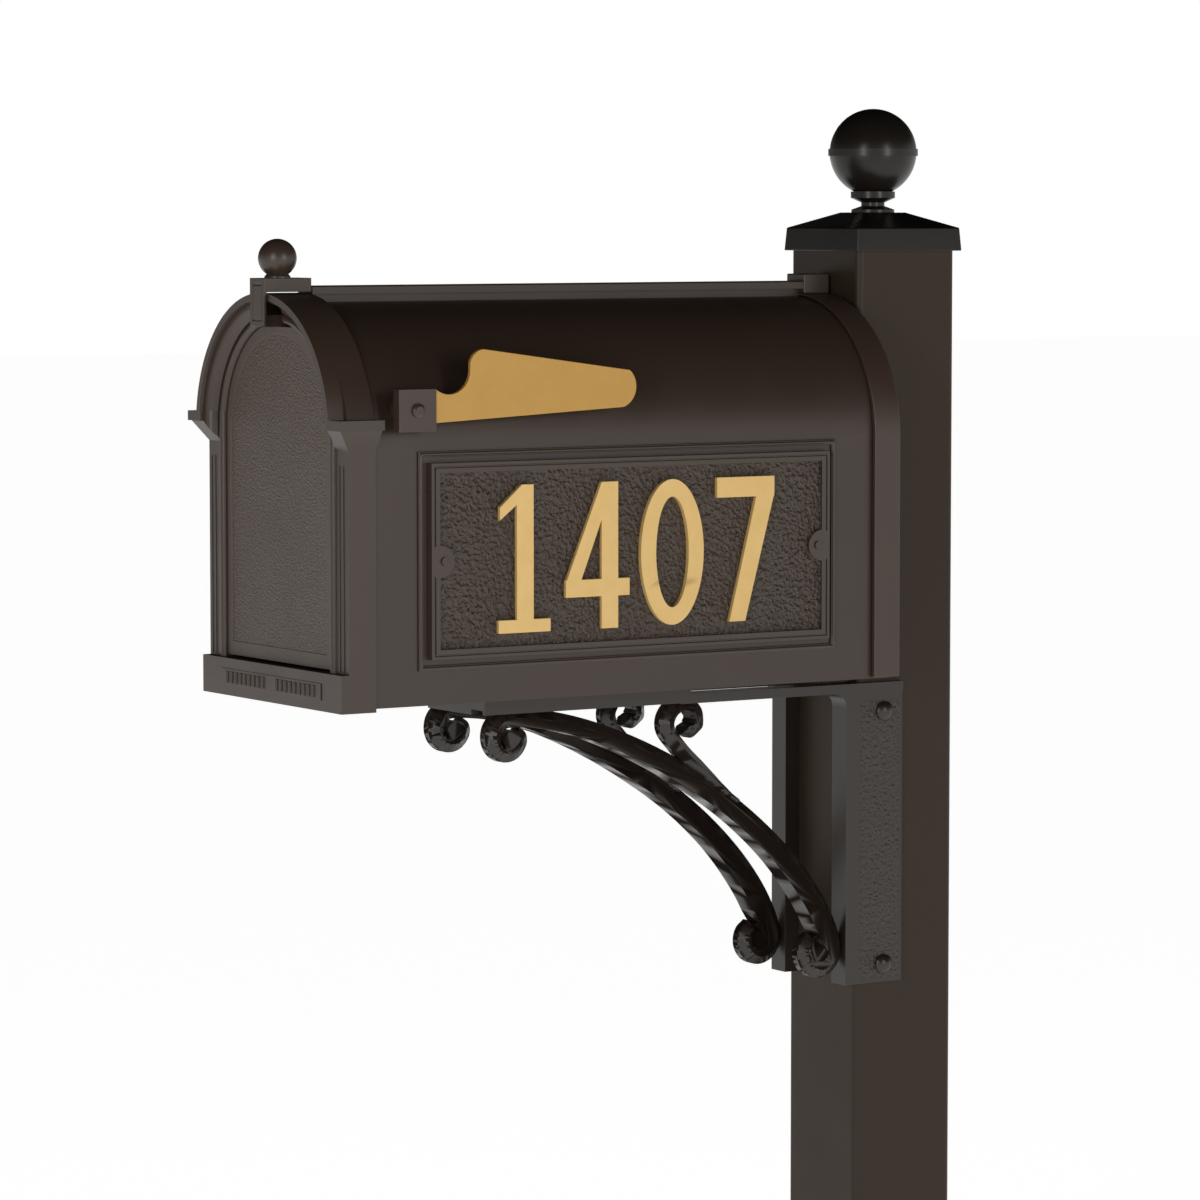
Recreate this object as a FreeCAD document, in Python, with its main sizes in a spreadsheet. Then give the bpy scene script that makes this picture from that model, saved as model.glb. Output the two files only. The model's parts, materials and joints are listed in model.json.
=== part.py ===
import FreeCAD, Part
import math
import os
import re

import Sketcher
from FreeCAD import Rotation, Vector

# Post-mounted kerbside mailbox, millimetres.
# Everything above the ground is drawn in the box's own frame: X to the flag side, Y to the post,
# Z up, with zero at the front face and the underside of the front base block.  Each sub-part's
# Placement then carries it to the part's frame, whose origin is the centre of the post's foot.

os.makedirs("parts", exist_ok=True)
doc = FreeCAD.newDocument("mailbox")

SIZES = [
    ("box_height", 1067.0, "underside of the front base block above the ground"),
    ("post_wide", 101.6, "square post, across its faces"),
    ("post_wall", 4.8, "wall of the post tube"),
    ("post_corner", 6.0, "outer corner radius of the post tube"),
    ("post_front", 541.0, "front block face to front face of the post"),
    ("foot_wide", 203.2, "square base plate"),
    ("foot_thick", 9.5, "base plate thickness"),
    ("foot_pitch", 152.4, "spacing of the anchor holes"),
    ("foot_bore", 14.3, "anchor hole diameter"),
    ("body_half", 113.5, "half width of the body shell, outside"),
    ("body_wall", 2.0, "body sheet thickness"),
    ("body_low", 2.7, "underside of the body"),
    ("body_spring", 208.0, "height where the roof arch starts"),
    ("floor_thick", 3.0, "floor pan sheet"),
    ("flange_tall", 14.0, "upturned edge of the floor pan"),
    ("frame_wall", 2.15, "side of the front frame outside the body sheet"),
    ("frame_deep", 31.5, "front block face to the rear edge of the front frame"),
    ("frame_face", 7.0, "face of the pilasters behind the block face"),
    ("block_tall", 30.4, "height of the base block"),
    ("socket_deep", 8.0, "how far the body sheet enters each end casting"),
    ("fit_gap", 0.15, "gap round the post in its cap"),
    ("sheet_gap", 0.45, "gap round the body sheet in the two end castings"),
    ("door_face", 8.0, "front face of the door leaf"),
    ("door_thick", 6.0, "door leaf thickness"),
    ("door_rest", 0.3, "rear of the door leaf in front of the wall that it closes against"),
    ("door_gap", 0.5, "gap round the door leaf"),
    ("door_low", 32.4, "lower edge of the door leaf"),
    ("stop_lip", 4.5, "width of the stop behind the door edge"),
    ("stop_thick", 4.0, "thickness of the stop"),
    ("hinge_up", 4.0, "hinge axis above the door's lower edge"),
    ("pin_wide", 3.2, "hinge pin diameter"),
    ("pin_gap", 0.05, "radial clearance of the door on its pins"),
    ("pin_in", 8.0, "pin length in the door and in the frame"),
    ("lip_front", -8.0, "front of the arch lip"),
    ("bead_wide", 4.0, "radius of the bead round the door opening"),
    ("flute_wide", 2.2, "radius of a pilaster flute"),
    ("cap_over", 11.0, "side overhang of the capitals"),
    ("cap_front", -7.0, "front of the capital slab"),
    ("rear_clear", 4.0, "rear casting in front of the post"),
    ("rear_deep", 26.0, "depth of the rear casting"),
    ("rear_wall", 5.0, "side of the rear casting outside the body sheet"),
    ("rear_plate", 5.0, "thickness of the rear wall"),
    ("rear_low", 3.7, "underside of the rear casting"),
    ("ridge_rise", 13.0, "ridge strip above the top of the body sheet"),
    ("ridge_wide", 24.0, "width of the ridge strip"),
    ("ridge_tall", 6.5, "thickness of the ridge strip"),
    ("ridge_web", 10.0, "width of the web under the ridge strip"),
    ("pull_clear", 0.8, "underside of the pull's top block above the arch lip"),
    ("pull_tall", 11.1, "height of the pull's top block"),
    ("pull_wide", 24.0, "width of the keystone pull"),
    ("pull_thick", 2.4, "thickness of the keystone plate"),
    ("knob_ball", 31.0, "diameter of the door knob"),
    ("knob_y", 8.0, "door knob centre from the block face"),
    ("side_y0", 70.7, "front end of the side panel frame"),
    ("side_z0", 30.1, "lower edge of the side panel frame"),
    ("side_line", 4.4, "width of the side panel frame"),
    ("side_thick", 2.0, "thickness of the side panel frame"),
    ("plaque_in", 9.2, "edge of the number plaque from the frame's outer edge"),
    ("plaque_rim", 8.0, "width of the plaque rim"),
    ("groove_in", 2.6, "groove in the plaque rim from the plaque's edge"),
    ("groove_wide", 1.4, "width of that groove"),
    ("plaque_thick", 4.0, "thickness of the plaque field"),
    ("plaque_rise", 2.8, "height of the rim above the field"),
    ("boss_wide", 13.0, "radius of the half-round screw bosses"),
    ("screw_wide", 7.0, "plaque screw head diameter"),
    ("digit_clear", 27.85, "space above and below the numerals in the side frame"),
    ("digit_thick", 4.0, "relief of the numerals"),
    ("flag_y", 59.5, "flag pivot from the block face"),
    ("flag_deep", 9.8, "thickness of the flag hub"),
    ("flag_hub", 34.0, "width of the square flag hub"),
    ("flag_step", 1.6, "outer face of the flag blade behind the hub's face"),
    ("flag_thick", 4.0, "thickness of the flag blade"),
    ("flag_reach", 207.0, "pivot to the flag's tip"),
    ("flag_screw", 6.0, "flag pivot screw diameter"),
    ("rail_wide", 21.0, "width of a bracket rail"),
    ("rail_low", -15.7, "underside of the rails"),
    ("rail_top", -7.7, "top of the rails behind the saddles"),
    ("saddle_y0", 167.0, "front end of the saddles"),
    ("saddle_low", -11.5, "underside of the saddles inside the skirt"),
    ("skirt_low", -15.0, "lower edge of the saddle skirt"),
    ("skirt_thick", 3.0, "thickness of the saddle skirt"),
    ("leg_over", 45.0, "how far the bracket's side plates reach along the post"),
    ("leg_low", -266.5, "lower end of the bracket uprights"),
    ("bolt_z0", -251.0, "lower bracket bolt"),
    ("bolt_z1", -32.6, "upper bracket bolt"),
    ("bolt_wide", 9.5, "bracket bolt diameter"),
    ("bolt_head", 16.8, "bracket bolt head diameter"),
    ("volute_z0", -34.9, "front scroll centre height"),
    ("volute_r0", 23.3, "front scroll radius where the bar meets it"),
    ("volute_z1", -235.0, "rear scroll centre height"),
    ("volute_r1", 23.4, "rear scroll radius"),
    ("brace_bulge", 1.54, "exponent of the brace's superellipse"),
    ("brace_bevel", 7.5, "depth of the bevels beside the crown"),
    ("brace_crown", 7.5, "width of the flat crown"),
    ("brace_sink", 1.0, "tip of the scroll branch's foot under the brace's crown"),
    ("brace_step", 8.0, "spacing of the brace's sections along its crown"),
    ("cap_skirt", 4.0, "overhang of the post cap at its lower edge"),
    ("cap_flat", 40.0, "width of the post cap's flat top"),
    ("ball_wide", 74.6, "finial ball diameter"),
    ("stud_wide", 9.5, "finial stud diameter"),
]

# Sizes that follow from the others, so that what fits together stays together.
RULES = [
    ("frame_skin", "door_face + door_thick + door_rest", "front of the wall behind the door"),
    ("body_back", "post_front - 12", "rear end of the body sheet"),
    ("frame_half", "body_half + frame_wall", "half width of the front frame"),
    ("door_half", "body_half - 26.5", "half width of the door leaf"),
    ("door_spring", "body_spring + 10.5", "height where the door arch starts"),
    ("door_top", "door_spring + door_half - 3.5", "flat top of the door leaf"),
    ("stop_top", "door_top - 12", "underside of the catch bridge"),
    ("lip_out", "door_half + 23.6", "arch moulding, outer radius at the lip"),
    ("lip_in", "door_half + 18", "arch moulding, inner radius at the lip"),
    ("cap_low", "door_spring - 11.9", "lower end of the capital"),
    ("cap_slab", "door_spring + 4.5", "underside of the capital slab"),
    ("cap_top", "cap_slab + 8", "top of the capital slab"),
    ("cap_back", "frame_deep + 2.3", "rear of the capital slab"),
    ("flute_top", "cap_low - 11.6", "upper end of the flutes"),
    ("rear_back", "post_front - rear_clear", "back of the rear casting"),
    ("rear_front", "rear_back - rear_deep", "front edge of the rear casting"),
    ("rear_half", "body_half + rear_wall", "half width of the rear casting"),
    ("ridge_top", "body_spring + body_half + ridge_rise", "top of the ridge strip"),
    ("pull_low", "door_top + 0.8", "lower end of the keystone plate"),
    ("pull_under", "door_spring + lip_out + pull_clear", "underside of the pull's top block"),
    ("pull_top", "pull_under + pull_tall", "top of the pull's top block"),
    ("pull_back", "frame_deep + 0.9", "rear of the pull's top block"),
    ("side_y1", "body_back - 56", "rear end of the side panel frame"),
    ("side_z1", "body_spring - 3.2", "upper edge of the side panel frame"),
    ("digit_tall", "side_z1 - side_z0 - 2 * digit_clear", "height of the numerals"),
    ("digit_low", "side_z0 + digit_clear - 0.25", "foot of the numerals"),
    ("digit_pitch", "(side_y1 - side_y0 - 186.9) / 3", "spacing of the numerals"),
    ("digit_wide", "digit_pitch - 10.8", "width of a numeral"),
    ("digit_first", "side_y0 + 61.8", "front edge of the first numeral"),
    ("flag_z", "body_spring + 30.3", "flag pivot height"),
    ("flag_inner", "body_half + 10.7", "inner face of the flag hub"),
    ("flag_outer", "flag_inner + flag_deep", "outer face of the flag"),
    ("rail_out", "post_wide / 2 + 5.2", "outer face of the bracket rails"),
    ("rail_in", "rail_out - rail_wide", "inner face of the bracket rails"),
    ("saddle_y1", "upright_y - 158.5", "rear end of the saddles"),
    ("upright_y", "post_front - 14.5", "front face of the bracket uprights"),
    ("leg_back", "post_front + leg_over", "rear edge of the side plates"),
    ("bolt_y", "post_front + 26", "bracket bolts from the block face"),
    ("volute_y0", "saddle_y0 + 25.5", "front scroll centre"),
    ("cap_low_z", "ridge_top + 25.3", "lower edge of the post cap"),
    ("cap_edge_z", "cap_low_z + 19.5", "top of the post cap's skirt"),
    ("cap_flat_z", "cap_low_z + 32.7", "flat top of the post cap"),
    ("ball_z", "cap_flat_z + 51.5", "finial ball centre"),
]

sheet = doc.addObject("Spreadsheet::Sheet", "Sizes")
for row, (alias, value, note) in enumerate(SIZES, start=1):
    sheet.set("A%d" % row, alias)
    sheet.set("B%d" % row, repr(value))
    sheet.setAlias("B%d" % row, alias)
    sheet.set("C%d" % row, note)
doc.recompute()

FOLLOWS = {alias: rule for alias, rule, _ in RULES}
DERIVED = re.compile(r"\b(%s)\b" % "|".join(FOLLOWS))
WORDS = re.compile(r"\b(%s)\b" % "|".join(alias for alias, _, _ in SIZES))
TO_POST = {"x": "0", "y": "-(post_front + post_wide / 2)", "z": "box_height"}
AHEAD = Vector(0, 1, 0)
UP = Vector(0, 0, 1)
SIDE = Vector(1, 0, 0)
# A sketch on each plane, with its own X and Y turned to the two axes that it names.
PLANES = {
    "XY": (Rotation(), UP, "z"),
    "XZ": (Rotation(SIDE, UP, -AHEAD), AHEAD, "y"),
    "YZ": (Rotation(AHEAD, UP, SIDE), SIDE, "x"),
}
TURNS = {"x": Rotation(UP, SIDE), "y": Rotation(UP, AHEAD), "z": Rotation()}
sub_parts = []


def bound(text):
    """The expression with each size's name made a reference to its cell."""
    told = str(text)
    while DERIVED.search(told):
        told = DERIVED.sub(lambda found: "(%s)" % FOLLOWS[found.group(1)], told)
    return WORDS.sub(r"Sizes.\1", told)


def number(text):
    return float(sheet.evalExpression(bound(text)))


def size(alias):
    return number(alias)


def bind(thing, **texts):
    for path, text in texts.items():
        thing.setExpression(path.replace("_at_", "."), bound(text))


def at(thing, x, y, z):
    for axis, text in zip("xyz", (x, y, z)):
        thing.setExpression("Placement.Base." + axis, bound(text))


def box(name, x0, x1, y0, y1, z0, z1):
    solid = doc.addObject("Part::Box", name)
    bind(solid, Length="(%s) - (%s)" % (x1, x0), Width="(%s) - (%s)" % (y1, y0),
         Height="(%s) - (%s)" % (z1, z0))
    at(solid, x0, y0, z0)
    return solid


def rod(name, axis, x, y, z, radius, length):
    """A cylinder that starts at x, y, z and runs along +axis."""
    solid = doc.addObject("Part::Cylinder", name)
    solid.Placement.Rotation = TURNS[axis]
    bind(solid, Radius=radius, Height=length)
    at(solid, x, y, z)
    return solid


def cone(name, x, y, z, low, high, length):
    solid = doc.addObject("Part::Cone", name)
    bind(solid, Radius1=low, Radius2=high, Height=length)
    at(solid, x, y, z)
    return solid


def ball(name, x, y, z, radius):
    solid = doc.addObject("Part::Sphere", name)
    bind(solid, Radius=radius)
    at(solid, x, y, z)
    return solid


def fuse(name, pieces):
    joined = doc.addObject("Part::MultiFuse", name)
    joined.Shapes = pieces
    joined.Refine = True
    return joined


def cut(name, base, tools):
    tool = tools[0] if len(tools) == 1 else fuse(name + "_tools", tools)
    rest = doc.addObject("Part::Cut", name)
    rest.Base, rest.Tool = base, tool
    rest.Refine = True
    return rest


def mirror(name, source):
    """The same shape on the other side of the plane X = 0."""
    other = doc.addObject("Part::Mirroring", name)
    other.Source = source
    other.Base = Vector(0, 0, 0)
    other.Normal = SIDE
    return other


def draw(sketch, corners, arcs=None, circles=()):
    """A closed outline through corners; arcs maps an edge to its centre and its turning sense.

    Each corner is held by its two distances from the origin, and each arc by one coordinate of
    its centre, which is the only freedom that its two ends leave.
    """
    arcs = arcs or {}
    points = [Vector(number(x), number(y), 0) for x, y in corners]
    edges = []
    for index, start in enumerate(points):
        finish = points[(index + 1) % len(points)]
        if index in arcs:
            (held, text), other, turns_left = arcs[index]
            centre = Vector(number(text), number(other), 0)
            if held == "y":
                centre = Vector(number(other), number(text), 0)
            ends = (start, finish) if turns_left else (finish, start)
            angles = [math.atan2(p.y - centre.y, p.x - centre.x) for p in ends]
            circle = Part.Circle(centre, UP, (start - centre).Length)
            edge = sketch.addGeometry(Part.ArcOfCircle(circle, *angles))
            edges.append((edge, 1, 2) if turns_left else (edge, 2, 1))
        else:
            edges.append((sketch.addGeometry(Part.LineSegment(start, finish)), 1, 2))
    for index, (edge, _, end) in enumerate(edges):
        after, begin, _ = edges[(index + 1) % len(edges)]
        sketch.addConstraint(Sketcher.Constraint("Coincident", edge, end, after, begin))
    for index, (x, y) in enumerate(corners):
        edge, begin, _ = edges[index]
        hold(sketch, "DistanceX", edge, begin, x)
        hold(sketch, "DistanceY", edge, begin, y)
        if index in arcs:
            (held, text), _, _ = arcs[index]
            hold(sketch, "Distance" + held.upper(), edge, 3, text)
    for x, y, radius in circles:
        centre = Vector(number(x), number(y), 0)
        edge = sketch.addGeometry(Part.Circle(centre, UP, number(radius)))
        hold(sketch, "DistanceX", edge, 3, x)
        hold(sketch, "DistanceY", edge, 3, y)
        which = sketch.addConstraint(Sketcher.Constraint("Radius", edge, number(radius)))
        sketch.setExpression("Constraints[%d]" % which, bound(radius))


def hold(sketch, kind, edge, point, text):
    rule = Sketcher.Constraint(kind, -1, 1, edge, point, number(text))
    which = sketch.addConstraint(rule)
    sketch.setExpression("Constraints[%d]" % which, bound(text))


def plan(name, plane, level, corners, arcs=None, circles=()):
    turn, _, axis = PLANES[plane]
    sketch = doc.addObject("Sketcher::SketchObject", name)
    sketch.Placement.Rotation = turn
    sketch.setExpression("Placement.Base." + axis, bound(level))
    draw(sketch, corners, arcs, circles)
    return sketch


def prism(name, plane, low, high, corners, arcs=None, circles=()):
    """An outline drawn at one level and carried along the plane's normal to another."""
    sketch = plan(name + "_outline", plane, low, corners, arcs, circles)
    solid = doc.addObject("Part::Extrusion", name)
    solid.Base = sketch
    solid.DirMode = "Custom"
    solid.Dir = PLANES[plane][1]
    solid.Solid = True
    bind(solid, LengthFwd="(%s) - (%s)" % (high, low))
    return solid


def arch(name, half, spring, low, y0, y1):
    """A doorway shape: straight sides up to the spring, then half a circle."""
    corners = [("-(%s)" % half, low), (half, low), (half, spring), ("-(%s)" % half, spring)]
    return prism(name, "XZ", y0, y1, corners, {2: (("y", spring), "0", True)})


def frame_to_post(thing):
    """Carries a finished sub-part from the box's frame to the post's."""
    for axis, text in TO_POST.items():
        path = "Placement.Base." + axis
        own = [told for where, told in thing.ExpressionEngine if where.endswith(path)]
        start = own[0] if own and thing.TypeId.startswith(PRIMITIVES) else "0"
        thing.setExpression(path, "(%s) + %s" % (start, bound(text)))


PRIMITIVES = ("Part::Box", "Part::Cylinder", "Part::Sphere", "Part::Cone")


def sub_part(label, thing, carry=True):
    if carry:
        frame_to_post(thing)
    thing.Label = label
    sub_parts.append(thing)
    return thing


def body_with(name, plane, corners, arcs=None, circles=()):
    """A PartDesign body and its first sketch, on one of the body's own planes."""
    body = doc.addObject("PartDesign::Body", name)
    sketch = on_plane(body, name + "_sketch", plane)
    draw(sketch, corners, arcs, circles)
    return body, sketch


def on_plane(body, name, plane):
    sketch = body.newObject("Sketcher::SketchObject", name)
    role = [f for f in body.Origin.OriginFeatures if f.Role == plane + "_Plane"][0]
    sketch.AttachmentSupport = [(role, "")]
    sketch.MapMode = "FlatFace"
    return sketch


# ---------------------------------------------------------------- post, foot and cap
def make_foot():
    half = "foot_wide / 2"
    corners = [("-" + half, "-" + half), (half, "-" + half), (half, half), ("-" + half, half)]
    holes = [("%sfoot_pitch / 2" % i, "%sfoot_pitch / 2" % j, "foot_bore / 2")
             for i in ("", "-") for j in ("", "-")]
    body, sketch = body_with("foot", "XY", corners, circles=holes)
    pad = body.newObject("PartDesign::Pad", "foot_pad")
    pad.Profile = sketch
    bind(pad, Length="foot_thick")
    sub_part("base_plate", body, carry=False)


def square(half, corner):
    """Corners and arcs of a square with rounded corners about the origin."""
    h, c = "(%s)" % half, "(%s) - (%s)" % (half, corner)
    corners = [("-(%s)" % c, "-" + h), (c, "-" + h), (h, "-(%s)" % c), (h, c),
               (c, h), ("-(%s)" % c, h), ("-" + h, c), ("-" + h, "-(%s)" % c)]
    arcs = {1: (("y", "-(%s)" % c), c, True), 3: (("y", c), c, True),
            5: (("y", c), "-(%s)" % c, True), 7: (("y", "-(%s)" % c), "-(%s)" % c, True)}
    return corners, arcs


def make_post():
    top = "box_height + cap_edge_z - 5"
    outer = prism("post_outer", "XY", "foot_thick", top, *square("post_wide / 2", "post_corner"))
    bore = "post_corner - post_wall"
    inner = prism("post_inner", "XY", "foot_thick", top,
                  *square("post_wide / 2 - post_wall", bore))
    at_bolt = "bolt_y - post_front - post_wide / 2"
    holes = [rod("post_hole_%d" % i, "x", "-post_wide", at_bolt, "box_height + bolt_z%d" % i,
                 "bolt_wide / 2", "2 * post_wide") for i in (0, 1)]
    sub_part("post_tube", cut("post", outer, [inner] + holes), carry=False)


def make_post_cap():
    middle = "post_front + post_wide / 2"
    lean = "cap_skirt * 0.65"
    levels = [("cap_low_z", "post_wide / 2 + cap_skirt"), ("cap_edge_z", "post_wide / 2 + " + lean),
              ("cap_flat_z", "cap_flat / 2")]
    tiers = []
    for index in (0, 1):
        low, high = levels[index], levels[index + 1]
        tier = doc.addObject("Part::Loft", "cap_tier_%d" % index)
        tier.Sections = [ring_plan("cap_tier_%d_%d" % (index, k), z, half, middle)
                         for k, (z, half) in enumerate((low, high))]
        tier.Solid, tier.Ruled = True, True
        tiers.append(tier)
    inside = "post_wide / 2 + fit_gap"
    hollow = box("cap_hollow", "-(%s)" % inside, inside, "%s - (%s)" % (middle, inside),
                 "%s + %s" % (middle, inside), "cap_low_z", "cap_edge_z - 5")
    bore = rod("cap_bore", "z", "0", middle, "cap_low_z", "stud_wide / 2", "60")
    sub_part("post_cap", cut("post_cap_solid", fuse("cap_tiers", tiers), [hollow, bore]))


def ring_plan(name, z, half, middle):
    corners = [("-(%s)" % half, "%s - (%s)" % (middle, half)), (half, "%s - (%s)" % (middle, half)),
               (half, "%s + %s" % (middle, half)), ("-(%s)" % half, "%s + %s" % (middle, half))]
    return plan(name, "XY", z, corners)


def make_finial():
    foot, waist, collar = "18.5", "10", "19"
    base = "cap_flat_z"
    turn = [("0", base), (foot, base), (foot, base + " + 2.5"), (waist, base + " + 5.5"),
            (waist, base + " + 8.5"), (collar, base + " + 12.5"), (collar, base + " + 18"),
            ("16.5", base + " + 18"), ("0", base + " + 18")]
    body, sketch = body_with("finial_stem", "XZ", turn)
    spin = body.newObject("PartDesign::Revolution", "finial_spin")
    spin.Profile = sketch
    spin.ReferenceAxis = (sketch, ["V_Axis"])
    spin.Angle = 360.0
    middle = "post_front + post_wide / 2"
    at(body, "0", middle, "0")
    sphere = ball("finial_ball", "0", middle, "ball_z", "ball_wide / 2")
    band = rod("finial_band", "z", "0", middle, "ball_z - 3", "ball_wide / 2 + 1.2", "6")
    bore = rod("finial_bore", "z", "0", middle, "cap_flat_z", "stud_wide / 2", "18")
    whole = fuse("finial_whole", [body, sphere, band])
    sub_part("post_finial", cut("finial", whole, [bore]))
    stud = rod("stud", "z", "0", middle, "cap_edge_z - 3", "stud_wide / 2",
               "cap_flat_z - cap_edge_z + 3 + 18")
    sub_part("finial_stud", stud)


# ---------------------------------------------------------------- body shell, floor and ridge
def make_shell():
    start = "frame_deep - socket_deep"
    outer = arch("shell_outer", "body_half", "body_spring", "body_low", start, "body_back")
    inner = arch("shell_inner", "body_half - body_wall", "body_spring", "body_low - 1", start,
                 "body_back")
    hole = rod("shell_flag_hole", "x", "0", "flag_y", "flag_z", "flag_screw / 2", "200")
    sub_part("body_shell", cut("shell", outer, [inner, hole]))


def make_floor():
    inside = "body_half - body_wall"
    y0, y1 = "frame_deep", "rear_back - rear_plate - 3"
    pan = box("pan", "-(%s)" % inside, inside, y0, y1, "body_low", "body_low + floor_thick")
    edges = []
    for side, x0, x1 in (("left", "-(%s)" % inside, "-(%s) + body_wall" % inside),
                         ("right", inside + " - body_wall", inside)):
        edges.append(box("pan_" + side, x0, x1, y0, y1, "body_low", "body_low + flange_tall"))
    bores = [rod("pan_bore_%d" % i, "z", x, y, "body_low - 1", "3", "20")
             for i, (x, y) in enumerate(SCREW_PLACES)]
    sub_part("floor_pan", cut("floor", fuse("pan_bent", [pan] + edges), bores))


SCREW_PLACES = [(x, y) for x in ("-(rail_in + rail_out) / 2", "(rail_in + rail_out) / 2")
                for y in ("saddle_y0 + 40", "saddle_y1 - 40")]


def make_floor_screws():
    for index, (x, y) in enumerate(SCREW_PLACES):
        head = rod("floor_screw_head_%d" % index, "z", x, y, "body_low + floor_thick", "6", "3.4")
        shank = rod("floor_screw_shank_%d" % index, "z", x, y, "body_low - 9.4", "3",
                    "floor_thick + 9.4")
        sub_part("floor_screw_%d" % (index + 1), fuse("floor_screw_whole_%d" % index, [head, shank]))


def make_ridge():
    y0, y1 = "pull_back + 1", "rear_front"
    half = "ridge_wide / 2"
    under = "ridge_top - ridge_tall"
    strip = prism("ridge_strip", "XZ", y0, y1,
                  [("-" + half, under), (half, under), (half, "ridge_top - 1"),
                   (half + " - 1", "ridge_top"), ("-(%s - 1)" % half, "ridge_top"),
                   ("-" + half, "ridge_top - 1")])
    web = box("ridge_web_box", "-ridge_web / 2", "ridge_web / 2", y0, y1,
              "body_spring + body_half - 6", under)
    shade = arch("ridge_roof", "body_half", "body_spring", "body_low", "0", "rear_back")
    frame = arch("ridge_frame", "frame_half", "body_spring", "0", "0", "frame_deep")
    sub_part("roof_ridge", cut("ridge", fuse("ridge_tee", [strip, web]), [shade, frame]))


# ---------------------------------------------------------------- front frame
def moulding_steps():
    """Radius and depth of the arch moulding from its lip in to the bead, and its cove's centre."""
    bead_out = "door_half + door_gap + 2 * bead_wide"
    steps = [("lip_in", "lip_front"), ("lip_in - 0.8", "lip_front + 3.2"),
             ("lip_in - 1.8", "lip_front + 2.4"), (bead_out, "lip_front + 12"),
             (bead_out, "door_face")]
    cove = 2
    return steps, cove, (("x", "lip_in - 11"), "lip_front + 2.9", True)


def make_front_frame():
    edge = "door_half + door_gap"
    wall = arch("frame_wall", "frame_half", "body_spring", "0", "frame_face", "frame_deep")
    block = box("frame_block", "-frame_half", "frame_half", "0", "frame_face", "0", "block_tall")

    # The arch moulding is one section turned half a turn about the door's arch centre.
    steps, cove, cove_centre = moulding_steps()
    section = [("lip_out", "frame_deep"), ("lip_out", "lip_front")] + steps
    section += [(edge, "door_face"), (edge, "frame_skin"), ("lip_in - 1", "frame_skin"),
                ("lip_in - 1", "frame_deep")]
    bead = 2 + len(steps) - 1
    arcs = {2 + cove: cove_centre, bead: (("y", "door_face"), edge + " + bead_wide", False)}
    profile = plan("moulding_section", "XY", "door_spring", section, arcs)
    ring = doc.addObject("Part::Revolution", "moulding_ring")
    ring.Source = profile
    ring.Axis = Vector(0, -1, 0)
    ring.Angle = 180.0
    ring.Solid = True
    ring.setExpression("Base.z", bound("door_spring"))
    low = box("moulding_low", "-2 * frame_half", "2 * frame_half", "lip_front - 1", "frame_deep",
              "body_low", "cap_top")
    crown = cut("moulding_crown", ring, [low])

    # A capital: slab over a frustum, with the moulding's steps carried down through it.
    slab = box("capital_slab", edge, "frame_half + cap_over", "cap_front", "cap_back",
               "cap_slab", "cap_top")
    taper = doc.addObject("Part::Loft", "capital_taper")
    taper.Sections = [
        rect_plan("capital_foot", "cap_low", edge, "frame_half", "frame_face", "frame_deep"),
        rect_plan("capital_head", "cap_slab", edge, "frame_half + cap_over - 2.5",
                  "cap_front + 2", "cap_back - 0.8")]
    taper.Solid, taper.Ruled = True, True
    steps_void = [("0", "lip_front - 20"), ("lip_in", "lip_front - 20")] + steps
    steps_void += [("0", "door_face")]
    void = prism("capital_void", "XY", "cap_low - 10", "cap_top + 1", steps_void,
                 {2 + cove: cove_centre})
    capital = cut("capital", fuse("capital_whole", [slab, taper]), [void])
    bead_post = rod("bead_post", "z", edge + " + bead_wide", "door_face", "block_tall",
                    "bead_wide", "cap_top - block_tall")
    right = fuse("frame_right", [capital, bead_post])
    left = mirror("frame_left", right)
    whole = fuse("frame_whole", [wall, block, crown, right, left])

    opening = arch("frame_opening", edge, "door_spring", "block_tall", "frame_face - 2",
                   "frame_skin")
    stop_half = "door_half - stop_lip"
    stop_void = arch("frame_stop_void", stop_half, "door_spring", "block_tall", "frame_skin",
                     "frame_skin + stop_thick")
    bridge = box("frame_bridge", "-2 * frame_half", "2 * frame_half", "frame_skin",
                 "frame_skin + stop_thick", "stop_top", "frame_half + body_spring")
    inner = "body_half - body_wall"
    cavity = arch("frame_cavity", inner, "body_spring", "block_tall",
                  "frame_skin + stop_thick", "frame_deep")
    cellar = box("frame_cellar", "-(%s)" % inner, inner, "frame_skin + stop_thick", "frame_deep",
                 "body_low + floor_thick", "block_tall")
    sleeve = arch("frame_sleeve", "body_half + sheet_gap", "body_spring", "body_low - sheet_gap",
                  "frame_deep - socket_deep", "cap_back + 1")
    notch = box("frame_notch", "-pull_wide / 2 - 2", "pull_wide / 2 + 2", "lip_front + 3",
                "frame_skin + stop_thick", "door_top - 0.5", "door_spring + lip_in - 1.5")
    heel = box("frame_heel", "-(%s)" % edge, edge, "frame_skin", "frame_skin + stop_thick",
               "block_tall", "door_low + 12")
    tools = [opening, cut("frame_stop", stop_void, [bridge]), cavity, cellar, sleeve, notch, heel]
    for index, (inset, sign) in enumerate([(a, s) for a in ("6.2", "12.4") for s in ("", "-")]):
        tools.append(rod("flute_%d" % index, "z", "%s(frame_half - %s)" % (sign, inset),
                         "frame_face", "block_tall + 1.5", "flute_wide",
                         "flute_top - block_tall - 1.5"))
    for name, x in (("left", "-(%s) - pin_in" % edge), ("right", edge)):
        tools.append(rod("pin_seat_" + name, "x", x, HINGE_Y, HINGE_Z, "pin_wide / 2", "pin_in"))
    tools.append(magnet_box("magnet_seat"))
    sub_part("front_frame", cut("front_frame_solid", whole, tools))


HINGE_Y = "door_face + door_thick / 2"
HINGE_Z = "door_low + hinge_up"


def rect_plan(name, z, x0, x1, y0, y1):
    return plan(name, "XY", z, [(x0, y0), (x1, y0), (x1, y1), (x0, y1)])


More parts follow.
